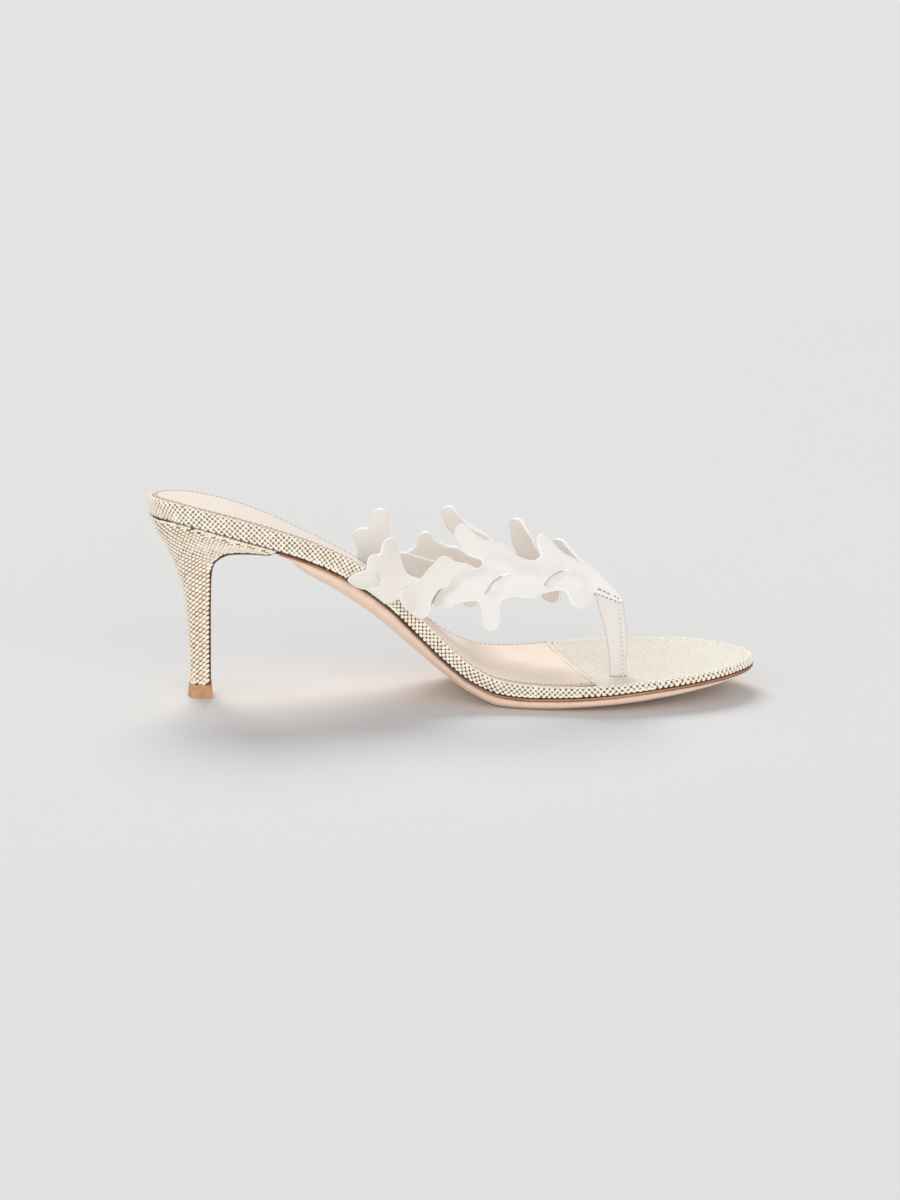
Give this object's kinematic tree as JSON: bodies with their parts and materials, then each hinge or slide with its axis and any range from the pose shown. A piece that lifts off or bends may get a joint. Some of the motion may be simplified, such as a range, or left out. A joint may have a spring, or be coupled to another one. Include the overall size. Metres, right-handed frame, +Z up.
{
  "type": "heeled slip-on thong sandal",
  "caption": "Backless heeled thong sandal: two openwork straps of interlocking link shapes meet at a toe post on a woven-cloth covered footbed with a slim block heel.",
  "frame": {"origin": "on the ground plane, at the middle of the shoe's bounding box seen from above", "axes": "X along the shoe, from the heel at -X to the toe at +X; Y across it, the inner (medial) side at -Y and the outer side at +Y; Z up from the ground"},
  "size_m": [0.2284, 0.076, 0.0766],
  "materials": {
    "woven_canvas": "open basket weave of cream yarn over a brown ground, matt",
    "heel_canvas": "fine cream weave with brown gaps, matt",
    "sock_leather": "smooth pale nude lining leather, low sheen, stitched edge",
    "sole_leather": "smooth nude sole leather with a dark brown painted upper edge",
    "top_piece_rubber": "dense tan rubber, matt",
    "strap_leather": "soft off-white leather with thick rounded cut edges and a beige lining"
  },
  "bodies": {
    "root": {"footbed": "woven_canvas", "heel": "heel_canvas", "insole": "sock_leather", "outsole": "sole_leather", "top_piece": "top_piece_rubber", "upper": "strap_leather"}
  },
  "joints": []
}
